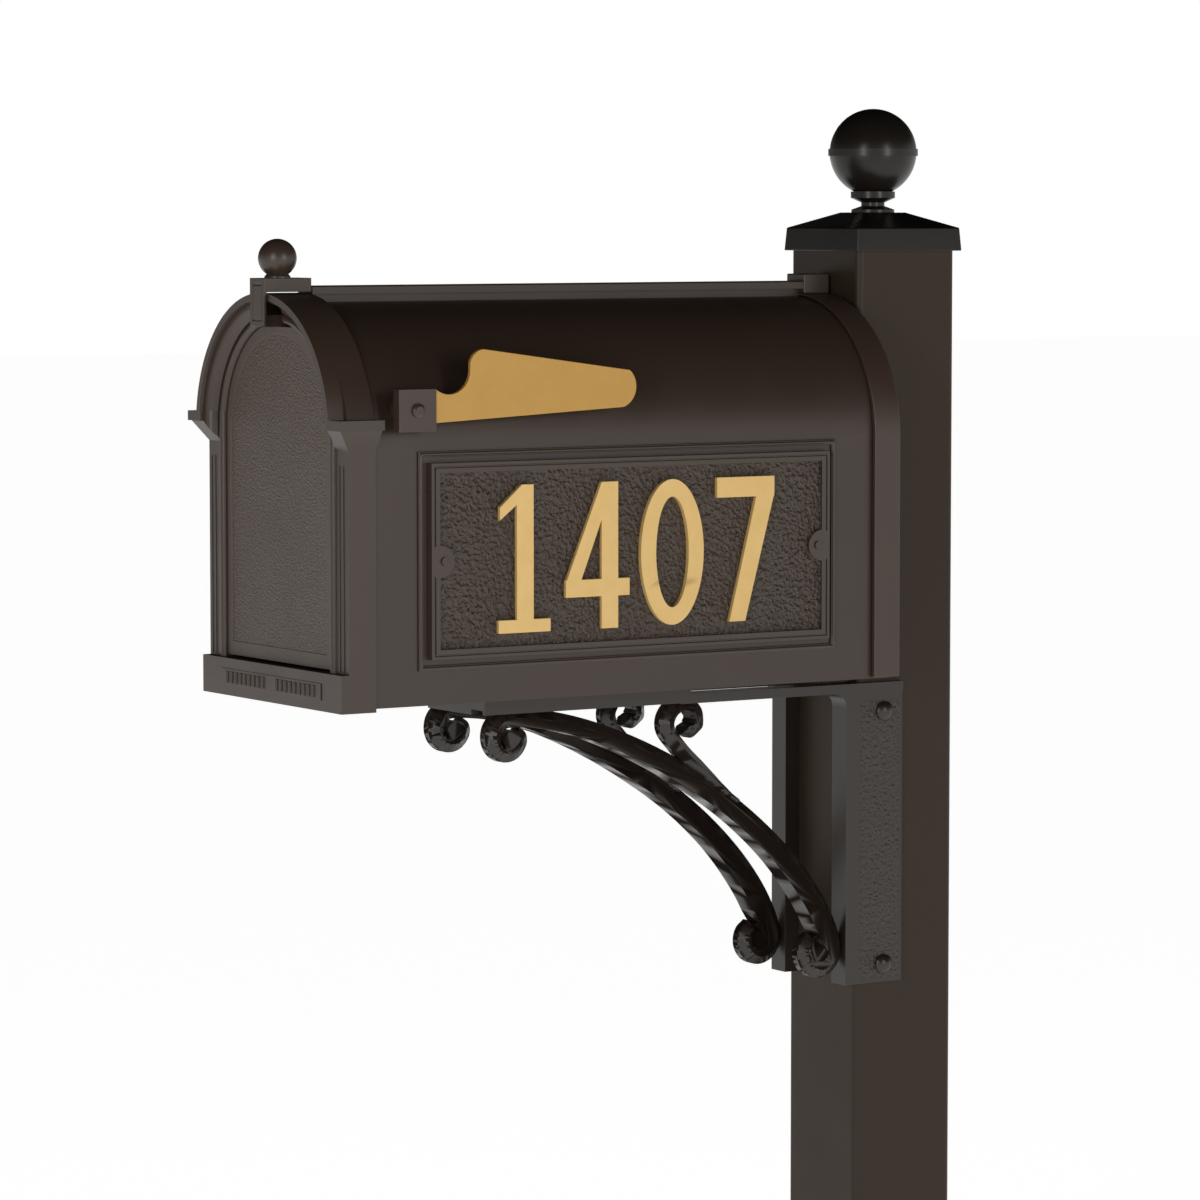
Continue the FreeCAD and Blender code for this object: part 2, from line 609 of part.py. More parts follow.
def magnet_box(name):
    return box(name, "-9", "9", "frame_skin", "frame_skin + 7", "stop_top + 3", "stop_top + 9")


def make_catch():
    sub_part("door_magnet", magnet_box("magnet"))
    plate = box("strike", "-8", "8", "door_face + door_thick - 1", "door_face + door_thick",
                "stop_top + 3.5", "stop_top + 8.5")
    sub_part("door_strike", plate)


def make_block_relief():
    """Two groups of upright reeds between plain borders on the base block."""
    low, high = "block_tall * 0.28", "block_tall * 0.72"
    back = box("relief_back", "-frame_half * 0.72", "frame_half * 0.72", "-0.8", "0", low, high)
    pieces = [back]
    reeds = 9
    for group in ("", "-"):
        for index in range(reeds):
            x = "%s(frame_half * (0.10 + 0.065 * %d))" % (group, index)
            pieces.append(rod("reed_%s_%d" % ("b" if group else "a", index), "z", x, "-0.8",
                              low + " + 2", "1.6", "block_tall * 0.44 - 4"))
    behind = box("relief_behind", "-frame_half", "frame_half", "0", "10", "0", "block_tall")
    sub_part("block_relief", cut("relief", fuse("relief_whole", pieces), [behind]))


# ---------------------------------------------------------------- door
def make_door():
    back = "door_face + door_thick"
    leaf = arch("leaf", "door_half", "door_spring", "door_low", "door_face", back)
    above = box("leaf_above", "-door_half", "door_half", "door_face - 1", back + " + 1",
                "door_top", "door_top + door_half")
    panel = arch("leaf_panel", "door_half - 9", "door_spring", "door_low + 11.5",
                 "door_face - 1", "door_face + 0.5")
    sides = [rod("leaf_bore_" + side, "x", x, HINGE_Y, HINGE_Z, "pin_wide / 2 + pin_gap",
                 "pin_in + 1")
             for side, x in (("left", "-door_half - 1"), ("right", "door_half - pin_in"))]
    seat = box("strike_seat", "-8", "8", back + " - 1", back + " + 1", "stop_top + 3.5",
               "stop_top + 8.5")
    sub_part("door_leaf", cut("door", leaf, [above, panel, seat] + sides))
    reach = "pin_in - 0.6"
    for side, x in (("left", "-(door_half + door_gap + pin_in)"),
                    ("right", "door_half - (%s)" % reach)):
        pin = rod("door_pin_%s_rod" % side, "x", x, HINGE_Y, HINGE_Z, "pin_wide / 2",
                  "pin_in + door_gap + (%s)" % reach)
        sub_part("door_pin_" + side, pin)


def make_pull():
    half = "pull_wide / 2"
    face = "lip_front - 0.4 - pull_thick"
    top = box("pull_block", "-" + half, half, face, "pull_back", "pull_under", "pull_top")
    plate = box("pull_plate", "-" + half, half, face, "lip_front - 0.4", "pull_low",
                "pull_top")
    stem = box("pull_stem", "-6", "6", "lip_front - 0.4", "door_face + door_thick", "door_top",
               "pull_low + 9")
    foot = box("pull_foot", "-6", "6", face, "lip_front - 0.4", "door_top", "pull_low")
    groove = frame_groove("pull_groove", face)
    whole = fuse("pull_whole", [top, plate, stem, foot])
    sub_part("door_pull", cut("pull", whole, [groove]))


def frame_groove(name, face):
    """A rectangular ring groove on the front of the keystone plate."""
    outer = box(name + "_outer", "-pull_wide / 2 + 3.5", "pull_wide / 2 - 3.5",
                face + " - 1", face + " + 0.9", "pull_low + 4", "pull_top - 4")
    inner = box(name + "_inner", "-pull_wide / 2 + 5.5", "pull_wide / 2 - 5.5",
                face + " - 1", face + " + 0.9", "pull_low + 6", "pull_top - 6")
    return cut(name, outer, [inner])


def make_knob():
    ball_z = "pull_top + knob_ball / 2 + 0.3"
    foot = rod("knob_foot", "z", "0", "knob_y", "pull_top", "10.5", "1.2")
    neck = cone("knob_neck", "0", "knob_y", "pull_top + 1.2", "10.5", "8.6", "2")
    sphere = ball("knob_sphere", "0", "knob_y", ball_z, "knob_ball / 2")
    under = box("knob_under", "-30", "30", "knob_y - 30", "knob_y + 30", "pull_top - 30",
                "pull_top")
    sub_part("door_knob", cut("knob", fuse("knob_whole", [foot, neck, sphere]), [under]))


# ---------------------------------------------------------------- rear casting
def make_rear():
    outer = arch("rear_outer", "rear_half", "body_spring - 2", "rear_low", "rear_front",
                 "rear_back")
    inside = arch("rear_inside", "body_half + sheet_gap", "body_spring", "rear_low - 3",
                  "rear_front", "rear_back - rear_plate")
    sub_part("rear_casting", cut("rear", outer, [inside]))
    half = "ridge_wide / 2 + 1"
    cap = box("rear_cap", "-(%s)" % half, half, "rear_front", "rear_back", "body_spring + body_half",
              "ridge_top + 6")
    roof = arch("rear_roof", "rear_half", "body_spring - 2", "rear_low", "rear_front - 1",
                "rear_back + 1")
    sub_part("rear_block", cut("rear_block_cut", cap, [roof]))


# ---------------------------------------------------------------- side panels and numerals
def panel_box(name, inset, x0, x1):
    return box(name, x0, x1, "side_y0 + " + inset, "side_y1 - (%s)" % inset,
               "side_z0 + " + inset, "side_z1 - (%s)" % inset)


def make_side_frame():
    x1 = "body_half + side_thick"
    outer = panel_box("side_outer", "0", "body_half", x1)
    inner = panel_box("side_inner", "side_line", "body_half - 1", x1 + " + 1")
    right = sub_part("side_frame_right", cut("side_ring", outer, [inner]))
    sub_part("side_frame_left", mirror("side_ring_left", right), carry=False)


def make_plaque():
    field = "body_half + plaque_thick"
    outer = panel_box("plaque_outer", "plaque_in", "body_half", field + " + plaque_rise")
    inner = panel_box("plaque_inner", "plaque_in + plaque_rim", field, field + " + 10")
    rim = field + " + plaque_rise"
    groove = cut("plaque_groove",
                 panel_box("groove_outer", "plaque_in + groove_in", rim + " - 1.5", rim + " + 1"),
                 [panel_box("groove_inner", "plaque_in + groove_in + groove_wide",
                            rim + " - 2", rim + " + 2")])
    dish = cut("plaque_dish", outer, [inner, groove])
    middle = "(side_z0 + side_z1) / 2"
    bosses, bores = [], []
    ends = {"front": "side_y0 + plaque_in + plaque_rim", "back": "side_y1 - plaque_in - plaque_rim"}
    for end, y in ends.items():
        bosses.append(rod("plaque_boss_" + end, "x", "body_half", y, middle, "boss_wide",
                          "plaque_thick + plaque_rise"))
        at_screw = screw_y(end)
        bores.append(rod("plaque_bore_" + end, "x", "body_half", at_screw, middle, "1.6", "30"))
    trim = panel_box("plaque_trim", "plaque_in", "body_half", field + " + plaque_rise")
    kept = doc.addObject("Part::MultiCommon", "plaque_kept")
    kept.Shapes = [fuse("plaque_bossed", [dish] + bosses), trim]
    right = sub_part("plaque_right", cut("plaque", kept, bores))
    sub_part("plaque_left", mirror("plaque_mirror", right), carry=False)
    for end in ends:
        x = field + " + plaque_rise"
        head = rod("plaque_head_" + end, "x", x, screw_y(end), middle, "screw_wide / 2", "1.6")
        shank = rod("plaque_shank_" + end, "x", "body_half", screw_y(end), middle, "1.6",
                    "plaque_thick + plaque_rise")
        screw = sub_part("plaque_screw_right_" + end, fuse("plaque_screw_" + end, [head, shank]))
        sub_part("plaque_screw_left_" + end, mirror("plaque_screw_left_" + end, screw), carry=False)


def screw_y(end):
    return {"front": "side_y0 + plaque_in + plaque_rim + 4",
            "back": "side_y1 - plaque_in - plaque_rim - 4"}[end]


def oval(y, z, half_wide, half_tall):
    """A flat ellipse in the plane X = 0, made of a scaled circle."""
    circle = Part.Face(Part.Wire(Part.Circle(Vector(0, 0, 0), SIDE, 1).toShape()))
    scale = FreeCAD.Matrix()
    scale.scale(1, half_wide, half_tall)
    face = circle.transformGeometry(scale)
    face.translate(Vector(0, y, z))
    return face


def polygon(*pairs):
    points = [Vector(0, y, z) for y, z in pairs]
    return Part.Face(Part.makePolygon(points + points[:1]))


# Plain figures made of straight bars: corners as shares of a numeral's width and height.
FIGURES = {
    "1": [[(0.42, 0.03), (0.68, 0.03), (0.68, 1), (0.50, 1), (0.42, 0.94)],
          [(0.16, 0.76), (0.54, 0.91), (0.54, 1), (0.50, 1), (0.16, 0.85)],
          [(0.14, 0), (0.94, 0), (0.94, 0.09), (0.14, 0.09)]],
    "4": [[(0.56, 0), (0.82, 0), (0.82, 1), (0.56, 1)],
          [(0, 0.22), (1, 0.22), (1, 0.34), (0, 0.34)],
          [(0, 0.27), (0.19, 0.27), (0.70, 0.92), (0.70, 1), (0.56, 1), (0, 0.32)]],
    "7": [[(0.04, 0.86), (0.97, 0.86), (0.97, 1), (0.04, 1)],
          [(0.24, 0), (0.50, 0), (0.97, 0.88), (0.97, 0.95), (0.72, 0.95)]],
}
NUMBER = "1407"


def numeral_faces(figure, wide, tall):
    """The flat bars of one numeral, standing on 0, 0."""
    if figure == "0":
        outer = oval(wide / 2, tall / 2, wide / 2, tall / 2)
        return [outer.cut(oval(wide / 2, tall / 2, wide * 0.26, tall * 0.38))]
    return [polygon(*[(y * wide, z * tall) for y, z in bar]) for bar in FIGURES[figure]]


def make_numerals():
    wide, tall = size("digit_wide"), size("digit_tall")
    x0 = size("body_half") + size("plaque_thick")
    for side in ("right", "left"):
        for index, figure in enumerate(NUMBER):
            faces = numeral_faces(figure, wide, tall)
            bars = [face.extrude(SIDE * size("digit_thick")) for face in faces]
            solid = bars[0].fuse(bars[1:]).removeSplitter()
            if side == "left":
                solid = solid.mirror(Vector(0, wide / 2, 0), AHEAD)
            slot = index if side == "right" else 3 - index
            start = x0 if side == "right" else -x0 - size("digit_thick")
            thing = doc.addObject("Part::Feature", "numeral_%s_%d" % (side, index + 1))
            thing.Shape = solid
            y = size("digit_first") + slot * size("digit_pitch")
            y -= size("post_front") + size("post_wide") / 2
            thing.Placement.Base = Vector(start, y, size("box_height") + size("digit_low"))
            sub_part("numeral_%s_%d" % (side, index + 1), thing, carry=False)


# ---------------------------------------------------------------- flag
def make_flag():
    half = "flag_hub / 2"
    y, z = "flag_y", "flag_z"
    hub = box("flag_hub_box", "flag_inner", "flag_outer", "%s - %s" % (y, half),
              "%s + %s" % (y, half), "%s - %s" % (z, half), "%s + %s" % (z, half))
    bore = rod("flag_bore", "x", "flag_inner - 1", y, z, "flag_screw / 2 + pin_gap", "20")
    sub_part("flag_hub", cut("flag_hub_bored", hub, [bore]))

    # The blade starts on the hub's rear side: a hollow quarter, a shoulder, then a long taper.
    root = "%s + %s" % (y, half)
    face = "flag_outer - flag_step"
    edge = [(root, z + " - 10.4"), (y + " + flag_reach - 14", z + " - 1.4"),
            (y + " + flag_reach - 8", z + " + 28.5"), (y + " + 62", z + " + 47.3"),
            (y + " + 49", z + " + 34.8"), (y + " + 49", z + " + 31.5"), (root, z + " + 17")]
    arcs = {1: (("y", z + " + 15.2"), y + " + flag_reach - 15.8", True),
            3: (("y", z + " + 34.8"), y + " + 61.5", True),
            5: (("y", z + " + 31.5"), root + " + 1.8", False)}
    blade = prism("flag_blade_plate", "YZ", face + " - flag_thick", face, edge, arcs)
    sub_part("flag_arm", blade)

    shell = arch("flag_shell", "body_half", "body_spring", "body_low", "0", "rear_back")
    boss = rod("flag_boss", "x", "body_half - 12", y, z, "11", "flag_inner - body_half + 10.5")
    clear = rod("flag_boss_bore", "x", "0", y, z, "flag_screw / 2", "200")
    sub_part("flag_mount", cut("flag_mount_solid", boss, [shell, clear]))
    disc_solid = rod("washer_disc", "x", "flag_inner - 1.5", y, z, "8", "1.2")
    hole = rod("washer_hole", "x", "flag_inner - 2", y, z, "flag_screw / 2", "4")
    sub_part("flag_washer", cut("flag_washer_solid", disc_solid, [hole]))
    shank = rod("flag_shank", "x", "body_half - 14", y, z, "flag_screw / 2",
                "flag_outer + 0.3 - body_half + 14")
    head = rod("flag_head", "x", "flag_outer + 0.3", y, z, "5.5", "1.4")
    dome = doc.addObject("Part::Cone", "flag_dome")
    dome.Placement.Rotation = TURNS["x"]
    bind(dome, Radius1="5.5", Radius2="3.2", Height="1.6")
    at(dome, "flag_outer + 1.7", y, z)
    sub_part("flag_screw_pin", fuse("flag_screw_whole", [shank, head, dome]))
    nut = prism("flag_nut_hex", "YZ", "body_half - 12", "body_half - 7", hexagon(y, z, 5.8))
    nut_bore = rod("flag_nut_bore", "x", "0", y, z, "flag_screw / 2", "200")
    sub_part("flag_nut", cut("flag_nut_solid", nut, [nut_bore, shell_wall("nut_wall")]))


def hexagon(y, z, radius):
    return [("%s + %.4f" % (y, radius * math.cos(math.radians(60 * k))),
             "%s + %.4f" % (z, radius * math.sin(math.radians(60 * k)))) for k in range(6)]


def shell_wall(name):
    outer = arch(name + "_outer", "body_half", "body_spring", "body_low", "0", "rear_back")
    inner = arch(name + "_inner", "body_half - body_wall", "body_spring", "body_low - 1",
                 "0", "rear_back")
    return cut(name, outer, [inner])


# ---------------------------------------------------------------- bracket
def make_bracket_frame():
    flank = "post_wide / 2"
    rail = box("rail", "rail_in", "rail_out", "saddle_y1 - 10", "upright_y", "rail_low",
               "rail_top")
    saddle = box("saddle", "rail_in", "rail_out", "saddle_y0", "saddle_y1", "saddle_low",
                 "body_low")
    skirt = box("skirt", "rail_out - skirt_thick", "rail_out", "saddle_y0", "saddle_y1",
                "skirt_low", "saddle_low")
    upright = box("upright", "rail_in", "rail_out", "upright_y", "post_front", "leg_low",
                  "rail_top")
    plate = box("side_plate", flank, "rail_out - 1.2", "post_front", "leg_back", "leg_low",
                "rail_top")
    crest = box("side_crest", flank, "rail_out", "post_front", "leg_back",
                "rail_low", "rail_top")
    corner = prism("rail_corner", "YZ", "rail_in", "rail_out",
                   [("upright_y - 12", "rail_low"), ("upright_y", "rail_low - 12"),
                    ("upright_y", "rail_low")],
                   {0: (("y", "rail_low - 12"), "upright_y - 12", False)})
    whole = fuse("bracket_whole", [rail, saddle, skirt, upright, plate, crest, corner])
    tools = [rod("bracket_hole_%d" % i, "x", "0", "bolt_y", "bolt_z%d" % i, "bolt_wide / 2",
                 "200") for i in (0, 1)]
    tools += [rod("saddle_hole_%d" % i, "z", "(rail_in + rail_out) / 2", y, "body_low - 9.4",
                  "3", "20") for i, y in enumerate(("saddle_y0 + 40", "saddle_y1 - 40"))]
    right = sub_part("bracket_right", cut("bracket", whole, tools))
    sub_part("bracket_left", mirror("bracket_mirror", right), carry=False)
    sub_part("bracket_cross_bar", box("cross_bar", "-rail_in", "rail_in", "saddle_y0",
                                      "saddle_y0 + 8", "skirt_low - 1", "body_low"))


def bar_section(point, outward, depth, scale):
    """Six-sided section of a brace: a flat crown, two bevels and two flat sides."""
    half = (size("rail_out") - size("rail_in")) / 2 * scale
    crown = size("brace_crown") / 2 * scale
    bevel = min(size("brace_bevel") * scale, depth * 0.8)
    corners = [(-crown, 0), (crown, 0), (half, bevel), (half, depth), (-half, depth),
               (-half, bevel)]
    return Part.makePolygon([point + SIDE * x - outward * d for x, d in corners + corners[:1]])


def bar_through(stations):
    """A solid bar whose crown passes through the stations: (y, z, depth, scale) each."""
    crown = Part.BSplineCurve()
    crown.interpolate([Vector(0, y, z) for y, z, _, _ in stations])
    start = crown.FirstParameter
    reached = [crown.length(start, crown.parameter(Vector(0, y, z))) for y, z, _, _ in stations]
    count = round(crown.length() / size("brace_step"))
    wires = []
    for index in range(count + 1):
        along = crown.length() * index / count
        spot = crown.parameterAtDistance(along, start)
        after = next((k for k in range(1, len(reached)) if reached[k] >= along), len(reached) - 1)
        mix = (along - reached[after - 1]) / (reached[after] - reached[after - 1])
        depth, scale = (a + (b - a) * mix
                        for a, b in zip(stations[after - 1][2:], stations[after][2:]))
        ahead = crown.tangent(spot)[0]
        wires.append(bar_section(crown.value(spot), SIDE.cross(ahead), depth, scale))
    return Part.makeLoft(wires, True, False)


def volute(y, z, turns):
    """Stations round a centre: (degrees, radius, depth, scale), evened out between the rows."""
    out = []
    for (a0, r0, d0, s0), (a1, r1, d1, s1) in zip(turns, turns[1:]):
        pieces = max(1, round(abs(a1 - a0) / 15))
        for k in range(pieces):
            mix = k / pieces
            out.append((a0 + (a1 - a0) * mix, r0 + (r1 - r0) * mix, d0 + (d1 - d0) * mix,
                        s0 + (s1 - s0) * mix))
    out.append(turns[-1])
    return [(y + r * math.cos(math.radians(a)), z + r * math.sin(math.radians(a)), d, s)
            for a, r, d, s in out]


def make_scroll_braces():
    y0, z0, r0 = size("volute_y0"), size("volute_z0"), size("volute_r0")
    z1, r1 = size("volute_z1"), size("volute_r1")
    y1 = size("upright_y") - 0.1 - r1
    start = y0 + 12.0
    along, drop, power = y1 + r1 - start, z0 + r0 - z1, 2 / size("brace_bulge")
    front = volute(y0, z0, [(400, r0 * 0.62, 6.0, 0.7), (360, r0 * 0.83, 8.5, 0.9),
                            (315, r0 * 0.86, 10.0, 1), (270, r0 * 0.88, 10.5, 1),
                            (180, r0 * 0.92, 10.5, 1), (90, r0, 15.0, 1)])
    depths = [15.3, 15.6, 16.4, 18.0, 19.2, 19.4, 20.4, 22.2, 23.0, 20.0]
    bend = []
    for index, depth in enumerate(depths):
        angle = math.radians(88 - 84 * index / (len(depths) - 1))
        bend.append((start + along * math.cos(angle) ** power,
                     z1 + drop * math.sin(angle) ** power, depth, 1))
    rear = volute(y1, z1, [(0, r1, 17.4, 1), (-45, r1, 16.6, 1), (-90, r1, 15.4, 1),
                           (-135, r1 * 0.98, 12.6, 1), (-180, r1 * 0.94, 10.2, 1),
                           (-235, r1 * 0.84, 9.0, 0.95)])
    eyes = [scroll_eye(y0 + 3.5, z0 - 3.0, 9.0), scroll_eye(y1, z1, r1 * 0.62)]
    main = bar_through(front + bend + rear).fuse(eyes)

    yb, zb = size("saddle_y1") - 1.5, size("saddle_low") - 18.5
    # The branch's depth lies above its line, so its foot is sunk by that depth and then rises
    # out of the main bar: (distance beyond the neck, height above the crown, depth).
    neck_z, leave_y = zb - 12.0, yb + 20.0
    foot = []
    for beyond, proud, depth in ((28.0, -size("brace_sink"), 7.0), (14.0, 0.8, 8.5),
                                 (0.0, 4.5, 10.0)):
        y = leave_y + beyond
        slope = (brace_crown_z(bend, y + 1) - brace_crown_z(bend, y - 1)) / 2
        foot.append((y, brace_crown_z(bend, y) - depth * math.hypot(1, slope) + proud, depth,
                     0.95))
    leave_z = foot[-1][1]
    foot += [(leave_y - 43.5 * run, leave_z + (neck_z - leave_z) * climb, depth, 0.95)
             for run, climb, depth in ((0.34, 0.30, 11.0), (0.64, 0.58, 11.0),
                                       (0.86, 0.82, 11.2), (1.0, 1.0, 11.4))]
    curl = volute(yb, zb, [(180, 26.0, 11.5, 0.95), (135, 22.6, 11.5, 0.95),
                           (90, 18.4, 11.0, 0.95), (30, 18.8, 11.5, 0.95),
                           (-30, 18.4, 12.0, 0.95), (-75, 15.4, 10.5, 0.95),
                           (-112, 13.4, 8.5, 0.85)])
    branch = bar_through(foot + curl)
    centre = (size("rail_in") + size("rail_out")) / 2
    back = -size("post_front") - size("post_wide") / 2
    place = Vector(centre, back, size("box_height"))
    doc.recompute()
    bracket = doc.getObject("bracket").Shape
    brace = main.fuse(branch).cut(bracket.translated(-place))
    for side, sign in (("right", 1), ("left", -1)):
        thing = doc.addObject("Part::Feature", "scroll_brace_%s_bar" % side)
        thing.Shape = brace if side == "right" else brace.mirror(Vector(0, 0, 0), SIDE)
        thing.Placement.Base = Vector(sign * centre, back, size("box_height"))
        sub_part("scroll_brace_%s" % side, thing, carry=False)


def brace_crown_z(bend, y):
    """Height of the brace's crown at y."""
    for (y0, z0, _, _), (y1, z1, _, _) in zip(bend, bend[1:]):
        if y0 <= y <= y1:
            return z0 + (z1 - z0) * (y - y0) / (y1 - y0)
    raise ValueError("the scroll branch starts beyond the brace")


def scroll_eye(y, z, radius):
    """The button that fills the middle of a scroll, a little narrower than the bar."""
    wide = (size("rail_out") - size("rail_in")) * 0.84
    return Part.makeCylinder(radius, wide, Vector(-wide / 2, y, z), SIDE)


def make_bracket_bolts():
    out = "rail_out - 1.2"
    for index in (0, 1):
        z = "bolt_z%d" % index
        shank = rod("bolt_shank_%d" % index, "x", "-(%s) - 8" % out, "bolt_y", z, "bolt_wide / 2",
                    "2 * (%s) + 8" % out)
        rim = rod("bolt_rim_%d" % index, "x", out, "bolt_y", z, "bolt_head / 2", "1.5")
        dome = doc.addObject("Part::Sphere", "bolt_dome_%d" % index)
        bind(dome, Radius="bolt_head * 0.62")
        at(dome, "%s + 1.5 - bolt_head * 0.366" % out, "bolt_y", z)
        core = box("bolt_core_%d" % index, "0", out + " + 1.5", "bolt_y - 20", "bolt_y + 20",
                   z + " - 20", z + " + 20")
        cap = cut("bolt_cap_%d" % index, dome, [core])
        sub_part("bracket_bolt_%d" % (index + 1), fuse("bolt_%d" % index, [shank, rim, cap]))
        hexed = prism("nut_hex_%d" % index, "YZ", "-(%s) - 7" % out, "-(%s)" % out,
                      hexagon("bolt_y", z, 9.2))
        bore = rod("nut_bore_%d" % index, "x", "-(%s) - 9" % out, "bolt_y", z, "bolt_wide / 2",
                   "12")
        sub_part("bracket_nut_%d" % (index + 1), cut("nut_%d" % index, hexed, [bore]))


MAKERS = [make_foot, make_post, make_post_cap, make_finial, make_shell, make_floor,
          make_floor_screws, make_ridge, make_front_frame, make_catch, make_block_relief,
          make_door, make_pull, make_knob, make_rear, make_side_frame, make_plaque,
          make_numerals, make_flag, make_bracket_frame, make_scroll_braces,
          make_bracket_bolts]
for make in MAKERS:
    make()
doc.recompute()

faults = []
for thing in doc.Objects:
    if {"Invalid", "Error"} & set(thing.State):
        faults.append("%s %s" % (thing.Name, thing.State))
for thing in sub_parts:
    if thing.Shape.isNull() or not thing.Shape.isValid() or len(thing.Shape.Solids) != 1:
        faults.append("%s is not one valid solid" % thing.Label)
if faults:
    raise RuntimeError("; ".join(faults))
for thing in sub_parts:
    thing.Shape.exportStep("parts/%s.step" % thing.Label)
    print("%-28s %2d solid %12.1f mm3" % (thing.Label, len(thing.Shape.Solids), thing.Shape.Volume))
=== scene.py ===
import json
import math

import bmesh
import bpy
from mathutils import Matrix, Vector

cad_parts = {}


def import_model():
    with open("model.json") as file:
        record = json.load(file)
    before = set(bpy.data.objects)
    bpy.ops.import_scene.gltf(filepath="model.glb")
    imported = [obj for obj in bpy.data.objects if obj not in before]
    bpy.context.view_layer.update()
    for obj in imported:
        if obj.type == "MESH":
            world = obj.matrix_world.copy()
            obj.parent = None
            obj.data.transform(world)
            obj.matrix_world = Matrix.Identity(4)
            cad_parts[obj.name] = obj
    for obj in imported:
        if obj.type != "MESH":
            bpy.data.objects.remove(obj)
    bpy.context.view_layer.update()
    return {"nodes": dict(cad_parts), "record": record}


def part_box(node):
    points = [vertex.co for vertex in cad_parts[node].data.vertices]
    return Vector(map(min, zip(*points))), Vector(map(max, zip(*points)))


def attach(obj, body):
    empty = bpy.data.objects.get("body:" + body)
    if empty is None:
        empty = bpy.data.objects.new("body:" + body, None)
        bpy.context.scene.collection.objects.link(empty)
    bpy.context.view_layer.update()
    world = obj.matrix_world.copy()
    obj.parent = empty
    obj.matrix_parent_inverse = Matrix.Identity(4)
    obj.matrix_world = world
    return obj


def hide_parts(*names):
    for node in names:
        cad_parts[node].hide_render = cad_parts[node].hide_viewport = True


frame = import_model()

NODES = frame["nodes"]
SLOTS = {row["node"]: row["material_slot"] for row in frame["record"]["subparts"]}
BODIES = frame["record"]["behaviour"]["bodies"]
BODY_OF = {node: body for body, nodes in BODIES.items() for node in nodes}
MM = 0.001
SIDES = ("right", "left")


# ------------------------------------------------------------------ camera, floor and light
def camera():
    lens = bpy.data.cameras.new("studio_camera")
    lens.sensor_width = 36.0
    lens.lens = 151.79
    lens.clip_end = 100.0
    stand = bpy.data.objects.new("studio_camera", lens)
    bpy.context.scene.collection.objects.link(stand)
    stand.location = (3.563395, -2.538888, 1.469072)
    turn, tip = math.radians(57.6076), math.radians(4.5054)
    ahead = Vector((-math.sin(turn) * math.cos(tip), math.cos(turn) * math.cos(tip),
                    -math.sin(tip)))
    stand.rotation_mode = "QUATERNION"
    stand.rotation_quaternion = ahead.to_track_quat("-Z", "Y")
    bpy.context.scene.camera = stand


def lamp(name, azimuth, height, away, wide, tall, watts, aim):
    """A soft box that stands round the object and faces the point aim."""
    light = bpy.data.lights.new(name, "AREA")
    light.shape = "RECTANGLE"
    light.size, light.size_y = wide, tall
    light.energy = watts
    stand = bpy.data.objects.new(name, light)
    bpy.context.scene.collection.objects.link(stand)
    turn = math.radians(azimuth)
    stand.location = (away * math.sin(turn), -away * math.cos(turn), height)
    stand.rotation_mode = "QUATERNION"
    stand.rotation_quaternion = (aim - stand.location).to_track_quat("-Z", "Y")


# ------------------------------------------------------------------ nodes and colours
def colour(code):
    """An sRGB hex value as the linear colour that a shader takes."""
    parts = [int(code[k:k + 2], 16) / 255 for k in (1, 3, 5)]
    return tuple(c / 12.92 if c <= 0.04045 else ((c + 0.055) / 1.055) ** 2.4
                 for c in parts) + (1.0,)


def add(tree, kind, feeds=None, **settings):
    """One node with its settings; feeds gives its inputs a value or another node's output."""
    made = tree.nodes.new(kind)
    for key, value in settings.items():
        setattr(made, key, value)
    for key, value in (feeds or {}).items():
        if isinstance(value, bpy.types.NodeSocket):
            tree.links.new(value, made.inputs[key])
        else:
            made.inputs[key].default_value = value
    return made


def world():
    """A bright band round the horizon, dimmer towards -X, under a dark ceiling.

    The camera itself sees plain white.
    """
    sky = bpy.data.worlds.new("studio")
    bpy.context.scene.world = sky
    sky.use_nodes = True
    tree = sky.node_tree
    tree.nodes.clear()
    way = add(tree, "ShaderNodeTexCoord")
    parts = add(tree, "ShaderNodeSeparateXYZ", {0: way.outputs["Generated"]})
    band = add(tree, "ShaderNodeMapRange",
               {0: parts.outputs["Z"], 1: 0.04, 2: 0.30, 3: 0.97, 4: 0.015},
               interpolation_type="SMOOTHSTEP")
    open_side = add(tree, "ShaderNodeMapRange",
                    {0: parts.outputs["X"], 1: -0.9, 2: 0.5, 3: 0.16, 4: 1.08})
    strength = times(tree, band.outputs[0], open_side.outputs[0])
    glow = add(tree, "ShaderNodeBackground",
               {"Color": (1.0, 0.965, 0.93, 1.0), "Strength": strength})
    plain = add(tree, "ShaderNodeBackground", {"Color": (1.0, 1.0, 1.0, 1.0), "Strength": 1.0})
    seen = add(tree, "ShaderNodeLightPath")
    both = add(tree, "ShaderNodeMixShader",
               {0: seen.outputs["Is Camera Ray"], 1: glow.outputs[0], 2: plain.outputs[0]})
    add(tree, "ShaderNodeOutputWorld", {"Surface": both.outputs[0]})


def floor():
    mesh = bpy.data.meshes.new("studio_floor")
    reach = 40.0
    mesh.from_pydata([(-reach, -reach, 0), (reach, -reach, 0), (reach, reach, 0),
                      (-reach, reach, 0)], [], [(0, 1, 2, 3)])
    ground = bpy.data.objects.new("studio_floor", mesh)
    bpy.context.scene.collection.objects.link(ground)
    paper = bpy.data.materials.new("Matt white studio floor")
    paper.use_nodes = True
    shader = paper.node_tree.nodes["Principled BSDF"]
    shader.inputs["Base Color"].default_value = colour("#F2F1EF")
    shader.inputs["Roughness"].default_value = 0.9
    shader.inputs["Emission Color"].default_value = (1.0, 1.0, 1.0, 1.0)
    shader.inputs["Emission Strength"].default_value = 0.95
    mesh.materials.append(paper)


